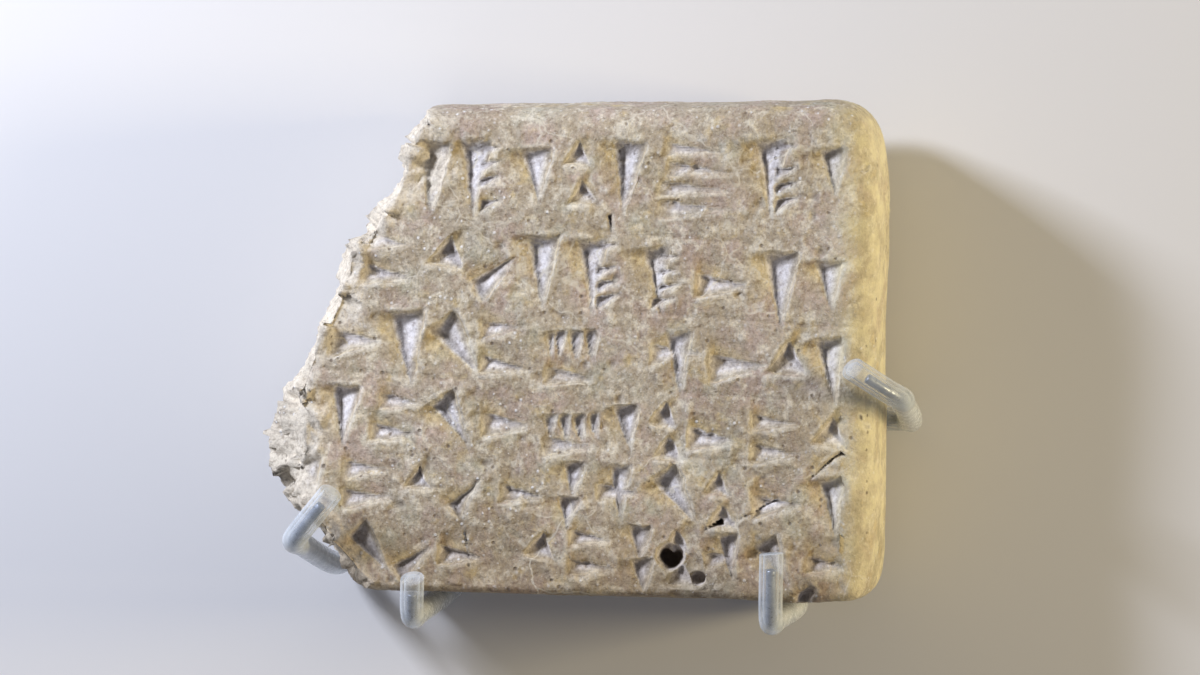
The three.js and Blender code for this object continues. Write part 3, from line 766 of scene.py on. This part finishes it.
shader, place = finish_for(wires.data, "dull_drawn_steel")
bloom = cloud(shader, place, 1.8, 1.0, 4)
tarnish = cloud(shader, place, 0.5, 2.0, 4, 0.7)
colour = blended(shader, between_limits(shader, bloom, 0.40, 0.62),
                 (0.30, 0.34, 0.42, 1), (0.46, 0.50, 0.56, 1))
colour = blended(shader, between_limits(shader, tarnish, 0.56, 0.68, 0, 0.85), colour,
                 (0.07, 0.075, 0.09, 1))
shader.inputs["Metallic"].default_value = 0.85
shader.id_data.links.new(colour, shader.inputs["Base Color"])
shader.id_data.links.new(between_limits(shader, tarnish, 0.4, 0.65, 0.34, 0.62),
                         shader.inputs["Roughness"])
shader.id_data.links.new(raised(shader, tarnish, 0.04, 0.7), shader.inputs["Normal"])

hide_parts("cradle_frame")
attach(wires, "root")

# The clear sleeves
# Soft clear tube, pushed over each wire so that no metal touches the clay, and cut off aslant a
# little past the wire's end. Known fault: bridge_loops joins the rings of each mouth the wrong
# way round, so faces cross the opening and the bore wall faces away from the wire.

SLANTS = {"right": 0.45, "lower_right": -0.25, "lower_left": 0.2, "left": 0.15}
sleeves = []
for name, hook in HOOKS.items():
    begin = np.linalg.norm(PAD["place"] - np.array(hook[0])) - SLEEVE_UNDER
    tube = frames_along(stretch_of(hook_line(*hook), begin, 0, 0.35), SLANTS[name])
    shape = bmesh.new()
    outer_ends = swept(shape, tube, SLEEVE_RADIUS, 36)
    inner_ends = swept(shape, tube, SLEEVE_BORE, 36)
    for outer, inner in zip(outer_ends, inner_ends):
        bmesh.ops.bridge_loops(shape, edges=outer + inner)
    bmesh.ops.bevel(shape, geom=[line for ends in (*outer_ends, *inner_ends) for line in ends],
                    offset=0.06, segments=2, profile=0.5, affect="EDGES", material=-1)
    sleeves.append(new_piece(shape, f"clear_sleeve_{name}"))
    if name == "right":
        shader, place = finish_for(sleeves[0].data, "clear_soft_tube")
        haze = cloud(shader, place, 2.5, 1.0, 4)
        dust = cloud(shader, place, 0.35, 2.0, 3, 0.7)
        colour = blended(shader, between_limits(shader, haze, 0.4, 0.65),
                         (0.82, 0.87, 0.91, 1), (0.62, 0.68, 0.73, 1))
        colour = blended(shader, between_limits(shader, dust, 0.66, 0.74, 0, 0.7), colour,
                         (0.25, 0.24, 0.22, 1))
        shader.inputs["IOR"].default_value = 1.42
        rim = part_of(shader, "ShaderNodeLayerWeight", {"Blend": 0.35}, "Facing")
        shader.id_data.links.new(between_limits(shader, rim, 0.05, 0.85, 0.14, 0.80),
                                 shader.inputs["Alpha"])
        shader.id_data.links.new(colour, shader.inputs["Base Color"])
        shader.id_data.links.new(between_limits(shader, dust, 0.4, 0.7, 0.08, 0.4),
                                 shader.inputs["Roughness"])
        shader.id_data.links.new(raised(shader, haze, 0.05, 0.4), shader.inputs["Normal"])
    else:
        sleeves[-1].data.materials.append(sleeves[0].data.materials[0])
    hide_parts(f"sleeve_{name}")
    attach(sleeves[-1], "root")

# The floor and the light
# A pale table top, a cool soft light from the upper left and a warmer, lower one from the right.

floor_mesh = bpy.data.meshes.new("floor")
plate = bmesh.new()
bmesh.ops.create_grid(plate, x_segments=1, y_segments=1, size=2)
plate.to_mesh(floor_mesh)
plate.free()
floor = bpy.data.objects.new("floor", floor_mesh)
bpy.context.collection.objects.link(floor)
pale = bpy.data.materials.new("pale_table")
pale.use_nodes = True
pale.node_tree.nodes["Principled BSDF"].inputs["Base Color"].default_value = (0.72, 0.72, 0.72, 1)
pale.node_tree.nodes["Principled BSDF"].inputs["Roughness"].default_value = 0.9
floor_mesh.materials.append(pale)


def soft_light(name, place, size, power, colour):
    lamp = bpy.data.lights.new(name, "AREA")
    lamp.size, lamp.energy, lamp.color = size, power, colour
    holder = bpy.data.objects.new(name, lamp)
    bpy.context.collection.objects.link(holder)
    holder.location = view_middle + Vector(place)
    holder.rotation_euler = (-Vector(place)).to_track_quat("-Z", "Y").to_euler()


soft_light("cool_key", (-0.190, 0.145, 0.14), 0.055, 0.95, (0.82, 0.86, 1.0))
soft_light("warm_side", (0.42, 0.02, 0.15), 0.10, 1.3, (1.0, 0.82, 0.48))
world = bpy.data.worlds.new("room")
world.use_nodes = True
world.node_tree.nodes["Background"].inputs["Color"].default_value = (0.90, 0.90, 1.0, 1)
world.node_tree.nodes["Background"].inputs["Strength"].default_value = 0.20
bpy.context.scene.world = world
bpy.context.scene.view_settings.view_transform = "Standard"
